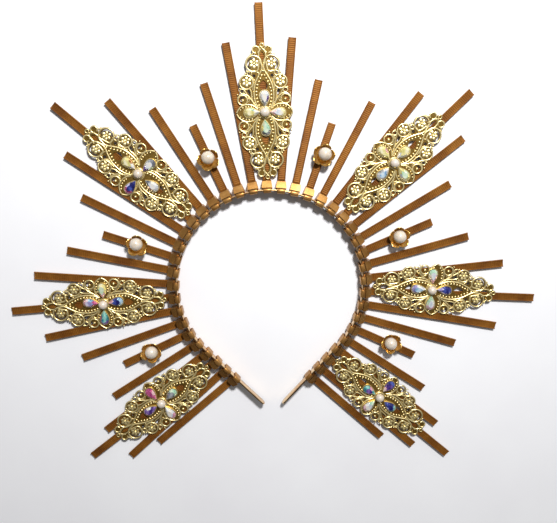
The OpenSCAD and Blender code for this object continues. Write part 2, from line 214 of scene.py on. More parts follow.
apply_modifier(band, "MIRROR", merge_threshold=1e-6)
shape(band)
face_outward()
# the two short edges across the strip at the end of each leg are rounded over
LEG_END = 0.002
END_ROUNDING = BAND_DEPTH * 0.49
lowest = min(v.co.y for v in band.data.vertices)
choose(band, "edges", lambda middle, way: middle.y < lowest + LEG_END and abs(way.z) < 1e-6
       and way.length < BAND_THICK * 1.01)
bpy.ops.mesh.bevel(offset=END_ROUNDING, segments=8, affect="EDGES")
bpy.ops.object.mode_set(mode="OBJECT")
soften(band, BAND_EDGE)
pick(band)
bpy.ops.object.shade_smooth_by_angle(angle=math.radians(40))
band.location = RING_CENTRE
settle(band)
band.data.materials.append(band_metal)
band.data.materials.append(edge_metal_painted_shade)
# the slit edges look to the crown's front and back; they take the darker plate, painted shade
for face in band.data.polygons:
    face.material_index = 1 if abs(face.normal.z) > 0.6 else 0
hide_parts("headband")
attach(band, "root")


# Cable ties: forty-one nylon ties are looped round the band and sprayed gold-brown once on it. Each strap
# leaves its head at the front, bends over the band, and comes out behind as the ray, ladder up.
TIE_PITCH = 0.00835
TIE_WIDTH = 0.0047
RAIL_WIDTH = 0.0007
HEAD_WIDTH = 0.0064
TAIL_BACK = 0.0015
TAIL_THICK = 0.0012
STRAP_THICK = 0.00085
LOOP_SLACK = 0.0003
LOOP_TOP = BAND_BACK + BAND_DEPTH + LOOP_SLACK + STRAP_THICK
RIB_PITCH = 0.00115
# how far the rays at the sides of the band lean toward its top, in degrees
FAN_LEAN = 6.5
# how far the rays reach from the band's middle line; the lengths repeat every six ties
REACH = (0.1085, 0.089, 0.0685, 0.0485, 0.0685, 0.089)
TIES = 41
MIDDLE_TIE = 21
# places counted from the middle tie: lean of the left and right tie in degrees, away from the top,
# and what is added to their reach in millimetres
HAND_SET = (
    (1.0, -1.0, -1.0, -1.0), (1.5, -1.5, -1.5, 0.0), (1.5, -1.0, 0.0, -0.5), (1.0, -2.0, 0.0, -2.0),
    (1.5, -0.5, 0.0, -1.0), (1.5, 2.0, -1.0, -1.0), (3.5, 2.5, 0.5, 0.5), (2.5, 0.5, -1.5, 0.0),
    (2.0, 0.5, -0.5, 0.0), (2.5, 0.5, 0.5, 1.0), (1.5, 0.5, 0.5, 1.0), (1.0, 2.0, 0.0, 1.0),
    (4.5, 5.5, -3.0, 3.0), (3.5, 4.5, 0.0, 1.5), (3.0, 2.5, 3.0, 0.0), (0.5, 2.5, 1.0, -1.5),
    (-1.0, 2.5, 0.0, -3.0), (-1.0, 2.0, 0.0, 0.5), (-1.0, 4.0, 1.0, 2.5), (4.0, 5.0, 2.0, -0.5),
    (2.0, 6.0, 2.0, -0.5),
)


def band_place(run):
    """The band's centre line at a run from the middle of its top: its point and its normal's turn."""
    quarter = BAND_RADIUS * math.pi / 2
    lower = BAND_RADIUS * math.radians(LEG_TURN - 90)
    if run <= quarter:
        turn, drop, leg = math.degrees(run / BAND_RADIUS), 0.0, 0.0
    elif run <= quarter + SIDE_LENGTH:
        turn, drop, leg = 90.0, run - quarter, 0.0
    elif run <= quarter + SIDE_LENGTH + lower:
        turn, drop, leg = 90.0 + math.degrees((run - quarter - SIDE_LENGTH) / BAND_RADIUS), SIDE_LENGTH, 0.0
    else:
        turn, drop, leg = LEG_TURN, SIDE_LENGTH, run - quarter - SIDE_LENGTH - lower
    s, c = math.sin(math.radians(turn)), math.cos(math.radians(turn))
    return Vector((BAND_RADIUS * s + leg * c, BAND_RADIUS * c - drop - leg * s, 0)), turn


def tie_layout(number):
    """Where a tie stands: matrix from its own frame (+Y out along the ray), its skew and its reach."""
    row = abs(number - MIDDLE_TIE)
    left = number < MIDDLE_TIE
    root, turn = band_place(row * TIE_PITCH)
    skew = HAND_SET[row][0 if left else 1] - FAN_LEAN * math.sin(math.radians(turn))
    reach = REACH[row % len(REACH)] + HAND_SET[row][2 if left else 3] / 1000
    side = -1 if left else 1
    root.x *= side
    heading = Matrix.Rotation(math.radians(-side * (turn + skew)), 4, "Z")
    return Matrix.Translation(RING_CENTRE + root) @ heading, abs(math.tan(math.radians(skew))), reach


# spray paint over moulded nylon: gold-brown metallic, half matt, with fine flake and orange peel;
# one paint, coloured paler on the smooth heads and straps (painted sheen), browner in the ladder (painted
# shade)
def spray_paint(name, deep, full, pale, metallic, rough, gloss):
    material, tree, shader = new_material(name)
    place = add_node(tree, "ShaderNodeTexCoord").outputs["Object"]
    # clouds of thin and thick paint about 12 mm across, flake grains drawn 0.25 mm wide so they show
    clouds = add_node(tree, "ShaderNodeTexNoise", {"Scale": 85.0, "Detail": 4.0, "Roughness": 0.6},
                      {"Vector": place})
    flake = add_node(tree, "ShaderNodeTexVoronoi", {"Scale": 4000.0}, {"Vector": place})
    coat = colour_ramp(tree, clouds.outputs["Fac"], (0.3, deep), (0.5, full), (0.72, pale))
    sparkle = colour_ramp(tree, flake.outputs["Color"], (0.0, "#7E7468"), (0.75, "#BEB8AE"), (1.0, "#FFFFFF"))
    mix = add_node(tree, "ShaderNodeMix", data_type="RGBA", blend_type="SOFT_LIGHT")
    mix.inputs["Factor"].default_value = 0.5
    tree.links.new(coat, mix.inputs["A"])
    tree.links.new(sparkle, mix.inputs["B"])
    tree.links.new(mix.outputs["Result"], shader.inputs["Base Color"])
    peel = add_node(tree, "ShaderNodeTexNoise", {"Scale": 1500.0, "Detail": 2.0}, {"Vector": place})
    bump = add_node(tree, "ShaderNodeBump", {"Strength": 0.5, "Distance": 0.00006},
                    {"Height": peel.outputs["Fac"]})
    tree.links.new(bump.outputs["Normal"], shader.inputs["Normal"])
    shader.inputs["Metallic"].default_value = metallic
    shader.inputs["Roughness"].default_value = rough
    shader.inputs["Specular IOR Level"].default_value = gloss
    return material


# the paler colours on the heads and straps are a painted sheen, the browner ones on the ladder a painted
# shade
smooth_paint_painted_sheen = spray_paint("gold_spray_paint_with_painted_sheen_on_smooth_nylon", "#8E6430", "#AE8248", "#CA9F64",
                           metallic=0.75, rough=0.38, gloss=0.5)
ladder_paint_painted_shade = spray_paint("gold_brown_spray_paint_with_painted_shade_on_ladder", "#71451A", "#86571F", "#996829",
                           metallic=0.38, rough=0.58, gloss=0.25)

# the tail: floor and two side rails drawn out along +Y, longer than any ray
FLOOR_THICK = 0.00075
LONGEST = 0.118
RAIL_EDGE = 0.00012
half_tie = TIE_WIDTH / 2
bpy.ops.mesh.primitive_grid_add(x_subdivisions=3, y_subdivisions=2, size=1)
tail = bpy.context.object
tail.name = "tail_pattern"
# where the grid's columns and rows go in the tail's section
columns = {-0.5: -half_tie, -1 / 6: RAIL_WIDTH - half_tie, 1 / 6: half_tie - RAIL_WIDTH, 0.5: half_tie}
levels = {-0.5: 0.0, 0.0: FLOOR_THICK, 0.5: TAIL_THICK}
for vertex in tail.data.vertices:
    column = min(columns, key=lambda c: abs(c - vertex.co.x))
    level = min(levels, key=lambda r: abs(r - vertex.co.y))
    vertex.co = (columns[column], 0.0, TAIL_BACK + levels[level])
shape(tail)
choose(tail, "faces", lambda middle, normal: abs(middle.x) < RAIL_WIDTH
       and middle.z > TAIL_BACK + FLOOR_THICK)
bpy.ops.mesh.delete(type="FACE")
bpy.ops.mesh.select_all(action="SELECT")
draw_out(0, LONGEST, 0)
face_outward()
bpy.ops.object.mode_set(mode="OBJECT")
soften(tail, RAIL_EDGE)

# one rung of the ladder, a wedge with its steep side to the head, repeated along the tail
FIRST_RUNG = 0.0068
RUNG_LEVEL = TAIL_BACK + FLOOR_THICK + 0.0001
RUNG_WIDTH = TIE_WIDTH - 2 * RAIL_WIDTH + 0.0001
RUNG_HEIGHT = 0.00026
RUNG_EDGE = 0.00007
bpy.ops.mesh.primitive_cube_add(size=1, location=(0, FIRST_RUNG, RUNG_LEVEL))
rung = bpy.context.object
rung.name = "rung_pattern"
rung.scale = (RUNG_WIDTH, RIB_PITCH * 0.85, RUNG_HEIGHT)
settle(rung)
shape(rung)
choose(rung, "verts", lambda co, v: co.z > RUNG_LEVEL and co.y > FIRST_RUNG)
bpy.ops.transform.translate(value=(0, -RIB_PITCH * 0.5, 0))
bpy.ops.object.mode_set(mode="OBJECT")
apply_modifier(rung, "BEVEL", width=RUNG_EDGE, segments=1)
# the rungs start past the head, so four fewer reach the end of the tail
apply_modifier(rung, "ARRAY", count=int(LONGEST / RIB_PITCH) - 4, use_relative_offset=False,
               use_constant_offset=True, constant_offset_displace=(0, RIB_PITCH, 0))
for piece in (tail, rung):
    piece.data.materials.append(smooth_paint_painted_sheen)
    piece.data.materials.append(ladder_paint_painted_shade)
    for face in piece.data.polygons:
        face.material_index = 1

# the head: a wedge, widest and highest beside the strap, with softened edges, a step where the strap
# goes in, a pocket round the ray and a shallow dish in its sloping end
HEAD_WALL = 0.00062
HEAD_NEAR = HEAD_WALL + STRAP_THICK + 0.00035
HEAD_FAR = HEAD_WALL + 0.0049
HEAD_TOP = 0.0084
HEAD_STEP = 0.0052
HEAD_FAR_HEIGHT = 0.0064
HEAD_TAPER = 0.86
HEAD_CORNER = 0.0005
HEAD_EDGE = 0.0002
SHORT_EDGE = 0.00002
POCKET_DEPTH = 0.0022
DISH_RIM = 0.0006
DISH_DEPTH = 0.00012
bpy.ops.mesh.primitive_circle_add(vertices=6, radius=1, fill_type="NGON")
head = bpy.context.object
head.name = "head_pattern"
side_view = ((HEAD_WALL, 0.0), (HEAD_FAR, 0.0), (HEAD_FAR, HEAD_FAR_HEIGHT), (HEAD_NEAR, HEAD_TOP),
             (HEAD_NEAR, HEAD_STEP), (HEAD_WALL, HEAD_STEP))
for vertex, (out, up) in zip(head.data.vertices, side_view):
    vertex.co = (-HEAD_WIDTH / 2, out, up)
shape(head)
bpy.ops.mesh.select_all(action="SELECT")
draw_out(HEAD_WIDTH, 0, 0)
face_outward()
choose(head, "verts", lambda co, v: co.y > HEAD_FAR - 1e-6)
bpy.ops.transform.resize(value=(HEAD_TAPER, 1, 1))
choose(head, "edges", lambda middle, way: abs(way.z) > 0.003 and middle.y > HEAD_FAR - 1e-6)
bpy.ops.mesh.bevel(offset=HEAD_CORNER, segments=3, affect="EDGES")
# the pocket's mouth: a face is set in the far wall, and its corners are moved round the ray
choose(head, "faces", lambda middle, normal: normal.y > 0.9 and middle.z < HEAD_FAR_HEIGHT
       and middle.y > HEAD_FAR - 1e-4)
bpy.ops.mesh.inset(thickness=0.0002)
bpy.ops.object.mode_set(mode="OBJECT")
pocket_floor = TAIL_BACK - 0.0002
pocket_roof = TAIL_BACK + TAIL_THICK + 0.0003
for vertex in head.data.vertices:
    if vertex.select:
        vertex.co.z = pocket_floor if vertex.co.z < HEAD_FAR_HEIGHT / 2 else pocket_roof
        vertex.co.x = math.copysign(half_tie + 0.0001, vertex.co.x)
bpy.ops.object.mode_set(mode="EDIT")
draw_out(0, -POCKET_DEPTH, 0)
choose(head, "faces", lambda middle, normal: normal.z > 0.8 and middle.z > 0.006)
bpy.ops.mesh.inset(thickness=DISH_RIM)
draw_out(0, 0, -DISH_DEPTH)
bpy.ops.object.mode_set(mode="OBJECT")
soften(head, HEAD_EDGE)
# the softening leaves edges of next to no length in the pocket's corners; each group of them is drawn
# together to its middle
shape(head)
choose(head, "edges", lambda middle, way: way.length < SHORT_EDGE)
bpy.ops.mesh.merge(type="COLLAPSE")
bpy.ops.object.mode_set(mode="OBJECT")

# the loop: a rounded rectangle of strap round the band's section, flush with the head's inner wall
INNER_GAP = 0.00017
LOOP_CORNER = 0.0013
LOOP_EDGE = 0.00015
loop_in = -BAND_THICK / 2 - INNER_GAP - STRAP_THICK
loop_out = HEAD_WALL + STRAP_THICK
bpy.ops.mesh.primitive_plane_add(size=1, location=(0, (loop_in + loop_out) / 2, (TAIL_BACK + LOOP_TOP) / 2),
                                 rotation=(0, math.pi / 2, 0))
loop = bpy.context.object
loop.name = "loop_pattern"
loop.scale = (LOOP_TOP - TAIL_BACK, loop_out - loop_in, 1)
settle(loop)
shape(loop)
bpy.ops.mesh.select_all(action="SELECT")
bpy.ops.mesh.bevel(offset=LOOP_CORNER, segments=8, affect="VERTICES")
bpy.ops.mesh.select_all(action="SELECT")
bpy.ops.transform.translate(value=(-half_tie, 0, 0))
draw_out(TIE_WIDTH, 0, 0)
choose(loop, "faces", lambda middle, normal: abs(normal.x) > 0.9)
bpy.ops.mesh.delete(type="FACE")
face_outward()
bpy.ops.object.mode_set(mode="OBJECT")
apply_modifier(loop, "SOLIDIFY", thickness=STRAP_THICK, offset=-1, use_even_offset=True)
soften(loop, LOOP_EDGE)
for piece in (head, loop):
    piece.data.materials.append(smooth_paint_painted_sheen)

for number in range(1, TIES + 1):
    matrix, slant, reach = tie_layout(number)
    parts = ray, ladder, block, strap = [copy_of(pattern) for pattern in (tail, rung, head, loop)]
    shape(ray)
    bpy.ops.mesh.select_all(action="SELECT")
    bpy.ops.mesh.bisect(plane_co=(0, reach, 0), plane_no=(0, 1, 0), use_fill=True, clear_outer=True,
                        threshold=1e-6)
    bpy.ops.object.mode_set(mode="OBJECT")
    # the ladder ends with the last whole rung
    rungs = int((reach - FIRST_RUNG) / RIB_PITCH - 0.5)
    shape(ladder)
    choose(ladder, "verts", lambda co, v: co.y > FIRST_RUNG + (rungs + 0.5) * RIB_PITCH)
    bpy.ops.mesh.delete(type="VERT")
    bpy.ops.object.mode_set(mode="OBJECT")
    # a tie that stands askew on the band keeps its head and strap clear of it
    block.data.transform(Matrix.Translation((0, slant * HEAD_WIDTH / 2, 0)))
    for vertex in strap.data.vertices:
        vertex.co.y += slant * HEAD_WIDTH / 2 if vertex.co.y > 0 else -slant * TIE_WIDTH / 2
    tie = join(parts, "cable_tie_%02d" % number)
    bpy.ops.object.shade_smooth_by_angle(angle=math.radians(38))
    tie.matrix_world = matrix
    settle(tie)
    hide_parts("tie_%02d" % number)
    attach(tie, "root")
for pattern in (tail, rung, head, loop):
    bpy.data.objects.remove(pattern)


# Filigrees: seven openwork ornaments stamped from thin brass and gilded, scrolls of half-round wire
# with grains and small blossoms between them. Each is glued along its ray, with its back on the tails
# of the ties, and carries raised collars for four drops and a pearl.
MM = 0.001
SHEET_BACK = TAIL_BACK + TAIL_THICK + 0.00008
SHEET_THICK = 0.0007
LOW_GROUND = 0.00042
STONE_BACK = SHEET_BACK + SHEET_THICK + 0.00005
# the top of the scroll work over the plate's back, where the gilding's painted highlight is brightest
SCROLL_TOP = 0.00105
BLOSSOM_PETALS = 6
# a drop's length and width in millimetres
DROP_LENGTH = 9.2
DROP_WIDTH = 5.6
# each row: the tie that carries the filigree, then in millimetres how far out its middle stands and
# how far to the right of the tie, then its turn in degrees
FILIGREES = (
    (3, 47.6, 0.6, 0.0), (9, 47.0, 0.2, -1.5), (15, 46.3, 1.6, 0.5), (21, 45.8, 0.7, 0.0),
    (27, 47.4, -1.9, 1.0), (33, 46.3, -3.0, -1.0), (39, 46.4, -1.9, -0.5),
)
# the stones of each filigree, glued by hand: the pearl's place along and across the plate, then the
# drops' places and turns, outward, left, inward and right of the ray
STONES = (
    ((0.4, 0.3), ((9.3, -0.4, -6), (0.6, 8.6, 88), (-8.2, -0.5, 190), (1.4, -8.7, 273))),
    ((0.1, 0.4), ((7.9, -1.0, -6), (0.5, 9.0, 87), (-7.8, -0.8, 186), (-0.1, -8.6, 270))),
    ((-0.3, 0.2), ((7.5, -0.9, -1), (-1.7, 9.3, 90), (-10.6, 0.6, 182), (-2.1, -7.4, 262))),
    ((0.2, -0.1), ((8.1, -0.3, 0), (0.3, 7.5, 93), (-8.8, -0.2, 184), (-0.2, -7.7, 265))),
    ((0.3, 0.0), ((8.0, 0.7, -5), (0.1, 8.9, 88), (-8.7, 0.3, 181), (-0.4, -8.7, 262))),
    ((-1.9, 0.0), ((6.1, 0.2, -3), (-2.2, 8.9, 94), (-10.2, 0.1, 182), (-1.7, -8.4, 269))),
    ((0.0, -0.4), ((9.4, -0.9, -2), (-0.6, 8.7, 84), (-8.2, -1.3, 187), (-1.0, -9.2, 264))),
)


def circle(u, v, radius, start=0, end=360, count=8):
    """Points in millimetres on an arc; a whole circle leaves out the closing point."""
    steps = count if abs(end - start) >= 360 else count - 1
    turns = [math.radians(start + (end - start) * i / steps) for i in range(count)]
    return [(u + radius * math.cos(t), v + radius * math.sin(t)) for t in turns]


# sin t sin (t / 2), the half width of a pear outline, is at most 1 over this
PEAR_WIDEST = 1.299


def pear(length, width, count):
    """Outline of a drop with its point toward -Y, in millimetres."""
    wide = width / 2 * PEAR_WIDEST
    turns = [2 * math.pi * i / count for i in range(count)]
    return [(-wide * math.sin(t) * math.sin(t / 2), -length / 2 * math.cos(t)) for t in turns]


def wire(points, radius, closed=False, height=0.42):
    """A wire bent through points in millimetres; its back is pressed flat on the sheet's back."""
    bpy.ops.curve.primitive_bezier_curve_add(radius=1, location=(0, 0, 0))
    bend = bpy.context.object
    spline = bend.data.splines[0]
    spline.bezier_points.add(len(points) - 2)
    for knot, (u, v) in zip(spline.bezier_points, points):
        knot.co = (u * MM, v * MM, SHEET_BACK + height * MM)
        knot.handle_left_type = knot.handle_right_type = "AUTO"
    spline.use_cyclic_u = closed
    bend.data.bevel_depth = radius * MM
    bend.data.bevel_resolution = 2
    bend.data.resolution_u = 4
    bend.data.use_fill_caps = not closed
    pick(bend)
    bpy.ops.object.convert(target="MESH")
    bent = bpy.context.object
    for vertex in bent.data.vertices:
        vertex.co.z = max(vertex.co.z, SHEET_BACK)
    return bent


def grain(u, v, radius, height=0.5):
    """A solder grain: a small ball sunk in the sheet."""
    bpy.ops.mesh.primitive_ico_sphere_add(subdivisions=2, radius=radius * MM,
                                          location=(u * MM, v * MM, SHEET_BACK + height * MM))
    ball = bpy.context.object
    settle(ball)
    for vertex in ball.data.vertices:
        vertex.co.z = max(vertex.co.z, SHEET_BACK)
    return ball


def sheet(outlines, back=0.0, thick=LOW_GROUND / MM):
    """Flat pieces of sheet in one mesh, cut along outlines in millimetres."""
    pieces = []
    for points in outlines:
        bpy.ops.mesh.primitive_circle_add(vertices=len(points), radius=1, fill_type="NGON")
        piece = bpy.context.object
        for vertex, (u, v) in zip(piece.data.vertices, points):
            vertex.co = (u * MM, v * MM, SHEET_BACK + back * MM)
        pieces.append(piece)
    flat = join(pieces, "sheet")
    shape(flat)
    bpy.ops.mesh.select_all(action="SELECT")
    draw_out(0, 0, thick * MM)
    face_outward()
    bpy.ops.object.mode_set(mode="OBJECT")
    return flat


def leaf(start, end, half_wide):
    """Outline of a leaf along u between two arcs, each of seven straight steps."""
    steps = 7
    side = [(start + (end - start) * i / steps, half_wide * math.sin(math.pi * i / steps))
            for i in range(steps + 1)]
    return side + [(u, -v) for u, v in side[-2:0:-1]]


def blossom(u, v, radius):
    """A small stamped flower: low domed petals round a grain, in shares of its radius."""
    parts = []
    for i in range(BLOSSOM_PETALS):
        turn = 2 * math.pi * i / BLOSSOM_PETALS
        away = radius * 0.62
        bpy.ops.mesh.primitive_uv_sphere_add(segments=8, ring_count=5, radius=1, rotation=(0, 0, turn),
                                             location=((u + away * math.cos(turn)) * MM,
                                                       (v + away * math.sin(turn)) * MM,
                                                       SHEET_BACK + 0.6 * MM))
        petal = bpy.context.object
        petal.scale = (radius * 0.4 * MM, radius * 0.33 * MM, 0.32 * MM)
        settle(petal)
        for vertex in petal.data.vertices:
            vertex.co.z = max(vertex.co.z, SHEET_BACK)
        parts.append(petal)
    return parts + [grain(u, v, radius * 0.3, 0.7)]


def spread(points, count):
    """Places evenly spaced along a line of points."""
    runs = [0.0]
    for a, b in zip(points, points[1:]):
        runs.append(runs[-1] + math.dist(a, b))
    places = []
    for i in range(count):
        run = runs[-1] * (i + 0.5) / count
        k = max(j for j in range(len(points) - 1) if runs[j] <= run)
        t = (run - runs[k]) / (runs[k + 1] - runs[k])
        places.append([a + (b - a) * t for a, b in zip(points[k], points[k + 1])])
    return places


# brass under thin gilding, coloured by height: pale tops are a painted highlight, olive-brown recesses
# painted shade
gilt_brass_painted_shade, tree, shader = new_material("gilded_stamped_brass_with_painted_shade")
place = add_node(tree, "ShaderNodeTexCoord").outputs["Object"]
level = add_node(tree, "ShaderNodeSeparateXYZ", links={"Vector": place}).outputs["Z"]
depth = add_node(tree, "ShaderNodeMapRange", {"From Min": SHEET_BACK, "From Max": SHEET_BACK + SCROLL_TOP},
                 {"Value": level}).outputs["Result"]
# uneven gilding, in spots about 0.7 mm across, breaks up the line between recess and top
mottle = add_node(tree, "ShaderNodeTexNoise", {"Scale": 1400.0, "Detail": 3.0},
                  {"Vector": place}).outputs["Fac"]
wear_and_shade = add_node(tree, "ShaderNodeMath", operation="MULTIPLY_ADD", links={0: mottle, 2: depth})
wear_and_shade.inputs[1].default_value = 0.25
# the ramp paints shade into the low parts and a highlight onto the tops
gilding = colour_ramp(tree, wear_and_shade.outputs["Value"], (0.44, "#745622"), (0.62, "#B29248"), (0.9, "#FBEAAE"))
tree.links.new(gilding, shader.inputs["Base Color"])
bump = add_node(tree, "ShaderNodeBump", {"Strength": 0.4, "Distance": 0.00005}, {"Height": mottle})
tree.links.new(bump.outputs["Normal"], shader.inputs["Normal"])
shader.inputs["Metallic"].default_value = 0.82
shader.inputs["Roughness"].default_value = 0.33

# the low ground of the stamping, in all four quarters, with its openings cut through; part of it is
# the real stamping's ground, part a sheet put where the real work is open and shows only shade
edge = [(38.5, 1.4), (35, 3), (30, 4.5), (25, 7), (20, 9), (13, 11.5), (6, 13), (0, 14)]
one_side = edge + [(-u, v) for u, v in edge[-2::-1]]
ground = one_side + [(-u, -v) for u, v in one_side]
# crescents cut beside the rings: middle, outer and inner radius, and where the arc starts and ends in
# degrees; then the corners of a small gap between two rings
CRESCENTS = ((27.8, 5.2, 3.8, 2.9, -20, 150), (7.6, 12.8, 2.1, 0.9, -50, 170))
SMALL_GAP = ((10.0, 8.0), (13.9, 7.9), (14.0, 9.0), (12.4, 9.9))
lobes = [circle(0, b * 15.0, 1.7, count=16) for b in (-1, 1)]
lobes += [circle(b * 38.3, 0, 1.5, count=14) for b in (-1, 1)]
openings = []
for a in (-1, 1):
    openings += [leaf(a * 29.4, a * 35.0, 1.3), leaf(a * 12.0, a * 18.8, 2.5)]
    for b in (-1, 1):
        lobes += [circle(a * 35.4, b * 3.4, 2.3, count=18), circle(a * 27.8, b * 5.2, 4.7, count=28),
                  circle(a * 17.6, b * 10.0, 4.1, count=26), circle(a * 7.6, b * 12.6, 3.2, count=22)]
        for u, v, wide, slim, start, end in CRESCENTS:
            crescent = circle(u, v, wide, start, end, 10) + circle(u, v, slim, end - 10, start + 10, 10)
            openings.append([(a * x, b * y) for x, y in crescent])
        openings.append([(a * u, b * v) for u, v in SMALL_GAP])
        openings.append(circle(a * 21.2, b * 5.3, 0.95, count=12))
ground_and_shade_sheet = sheet([ground])
for extra, work in ((sheet(lobes), "UNION"), (sheet(openings, -0.5, 2.0), "DIFFERENCE")):
    apply_modifier(ground_and_shade_sheet, "BOOLEAN", operation=work, object=extra, solver="EXACT", use_self=True)
    bpy.data.objects.remove(extra)

# one quarter of the scroll work, u along the ray and v across it, each wire with its radius
outer_rail = [(2.6, 3.7), (6.0, 5.2), (11.0, 5.8), (16.5, 4.9), (21.0, 2.8), (25.2, 0.55), (28.8, 0.9)]
scroll = circle(28.0, 5.2, 4.5, -65, 205, 8) + circle(27.8, 5.2, 3.4, 230, 290, 2)
beading = [(3.4, 3.0), (7.0, 4.1), (11.5, 4.5), (16.0, 3.5), (20.0, 1.5), (22.2, 0.4)]
arch = [(2.2, 4.0), (4.4, 7.0), (4.9, 10.0), (4.4, 12.8), (2.6, 15.2), (0.3, 16.6)]
quarter = [
    wire(outer_rail + scroll, 0.6),
    wire(circle(17.6, 10.0, 3.85, count=8), 0.54, True),
    wire(circle(7.6, 12.7, 2.8, count=8), 0.54, True),
    wire(circle(12.7, 12.8, 1.3, count=6), 0.45, True),
    wire(circle(22.5, 7.9, 1.25, count=6), 0.45, True),
    wire(circle(35.7, 3.5, 1.95, -150, 170, 8), 0.52),
    wire(arch, 0.54),
    wire([(3.4, 4.6), (6.4, 6.8), (8.8, 8.4), (10.7, 10.6), (10.8, 13.4), (9.0, 15.6)], 0.5),
    wire([(5.2, 6.4), (9.2, 7.3), (12.0, 7.4), (14.2, 8.4)], 0.48),
    wire([(9.8, 9.6), (12.0, 10.6), (14.2, 12.0)], 0.42),
    wire([(26.0, 0.4), (29.6, 1.6), (32.6, 2.1), (35.0, 1.5), (36.2, 0.3)], 0.5),
    wire([(31.9, 7.2), (33.6, 5.6), (34.4, 4.9)], 0.48),
    wire([(13.2, 6.6), (15.4, 6.2), (18.2, 5.6), (20.2, 6.2), (20.4, 7.4), (19.4, 7.6)], 0.38),
    wire([(22.6, 2.6), (23.8, 4.2), (23.9, 6.2), (22.6, 6.6)], 0.38),
    wire([(6.2, 9.4), (7.6, 8.6), (8.9, 9.6)], 0.36),
]
quarter += [grain(u, v, 0.72, 0.52) for u, v in spread(beading, 10)]
quarter += [grain(u - 1.1, v - 0.2, 0.58, 0.5) for u, v in spread(arch[1:5], 5)]
quarter += [grain(u, v, r) for u, v, r in (
    (7.5, 12.6, 0.85), (14.2, 14.0, 0.62), (21.4, 11.3, 0.62), (22.7, 10.2, 0.62), (24.0, 9.4, 0.6),
    (10.9, 15.5, 0.5), (33.2, 6.9, 0.5), (31.0, 3.0, 0.45), (23.6, 5.4, 0.5), (18.8, 5.2, 0.5),
)]
quarter += blossom(17.7, 9.9, 3.1) + blossom(27.9, 5.1, 3.0)
filigree = join(quarter, "filigree_pattern")
apply_modifier(filigree, "MIRROR", use_axis=(False, True, False), use_mirror_merge=False)
half_way = [
    filigree,
    wire(circle(38.2, 0, 1.05, count=6), 0.4, True),
    grain(23.8, 0, 0.75),
    grain(36.6, 0, 0.5),
]
join(half_way, "filigree_pattern")
apply_modifier(filigree, "MIRROR", use_axis=(True, False, False), use_mirror_merge=False)
join([filigree, ground_and_shade_sheet], "filigree_pattern")

# the seat of a drop: a pear of sheet, 1 mm longer and wider than the drop, with a thin bezel wall
# pressed up round it
SEAT_RIM = 1.0
BEZEL_STEP = 0.0001
BEZEL_HEIGHT = 0.00085
BEZEL_WALL = 0.00026
seat = sheet([pear(DROP_LENGTH + SEAT_RIM, DROP_WIDTH + SEAT_RIM, 24)], 0.0, SHEET_THICK / MM)
shape(seat)
choose(seat, "faces", lambda middle, normal: normal.z > 0.9)
bpy.ops.mesh.inset(thickness=BEZEL_STEP)
draw_out(0, 0, BEZEL_HEIGHT)
bpy.ops.mesh.inset(thickness=BEZEL_WALL)
draw_out(0, 0, -BEZEL_HEIGHT)
bpy.ops.object.mode_set(mode="OBJECT")
# the round seat of the pearl, with a wire ring and four grains where the drops leave room, all in
# millimetres
HUB_RADIUS = 3.9
HUB_RING = 3.0
HUB_WIRE = 0.32
GRAINS_OUT = 4.1
bpy.ops.mesh.primitive_cylinder_add(vertices=32, radius=HUB_RADIUS * MM, depth=SHEET_THICK,
                                    location=(0, 0, SHEET_BACK + SHEET_THICK / 2))
hub = bpy.context.object
settle(hub)
hub = join([hub, wire(circle(0, 0, HUB_RING, count=8), HUB_WIRE, True, 1.0)]
           + [grain(u, v, 0.5, 0.9) for u, v in circle(0, 0, GRAINS_OUT, 45, 405, 4)], "hub_pattern")


def at(u, v, turn=0.0):
    """Place on a filigree in millimetres, with a drop's point turned toward the pearl."""
    return Matrix.Translation((u * MM, v * MM, 0)) @ Matrix.Rotation(math.radians(turn), 4, "Z")


def filigree_place(row):
    tie, away, right, turn = row
    return tie_layout(tie)[0] @ at(right, away, 90 + turn)


# how far round a drop, in millimetres, the scroll work is pressed flat
COVER = 0.2


def covered(co, drops):
    """Whether a point of the scroll work lies under a drop."""
    for u, v, turn in drops:
        spot = at(u, v, turn - 90).inverted() @ co
        share = -spot.y / MM / (DROP_LENGTH / 2 + COVER)
        if abs(share) < 1:
            t = math.acos(share)
            if abs(spot.x / MM) < (DROP_WIDTH / 2 + COVER) * PEAR_WIDEST * math.sin(t) * math.sin(t / 2):
                return True
    return False


for number, (row, (pearl_place, drops)) in enumerate(zip(FILIGREES, STONES), 1):
    stamped = copy_of(filigree)
    # the scrolls are pressed flat where a drop sits
    for vertex in stamped.data.vertices:
        if vertex.co.z > SHEET_BACK + SHEET_THICK and covered(Vector((vertex.co.x, vertex.co.y, 0)), drops):
            vertex.co.z = SHEET_BACK + SHEET_THICK
    collars = [copy_of(hub, at(*pearl_place))] + [copy_of(seat, at(u, v, turn - 90)) for u, v, turn in drops]
    stamped = join([stamped] + collars, "gilt_filigree_%d" % number)
    bpy.ops.object.shade_smooth_by_angle(angle=math.radians(50))
    stamped.data.materials.clear()
    stamped.data.materials.append(gilt_brass_painted_shade)
    stamped.matrix_world = filigree_place(row)
    settle(stamped)
    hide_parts("filigree_%d" % number)
    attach(stamped, "root")
for pattern in (filigree, seat, hub):
    bpy.data.objects.remove(pattern)


# Crystals: pear-cut glass drops, foiled behind and coated to an aurora shimmer, four to a filigree
# with their points toward the pearl. Each is glued in its bezel; table, crown facets and girdle are
# polished flat, and the coating gives the body, flank, point and round end tints of their own.
DROP_HEIGHT = 0.0027
CUT_FACETS = 16
# the foot that stands in the bezel, as shares of the drop's length and width
FOOT_LENGTH = 0.86
FOOT_WIDTH = 0.84
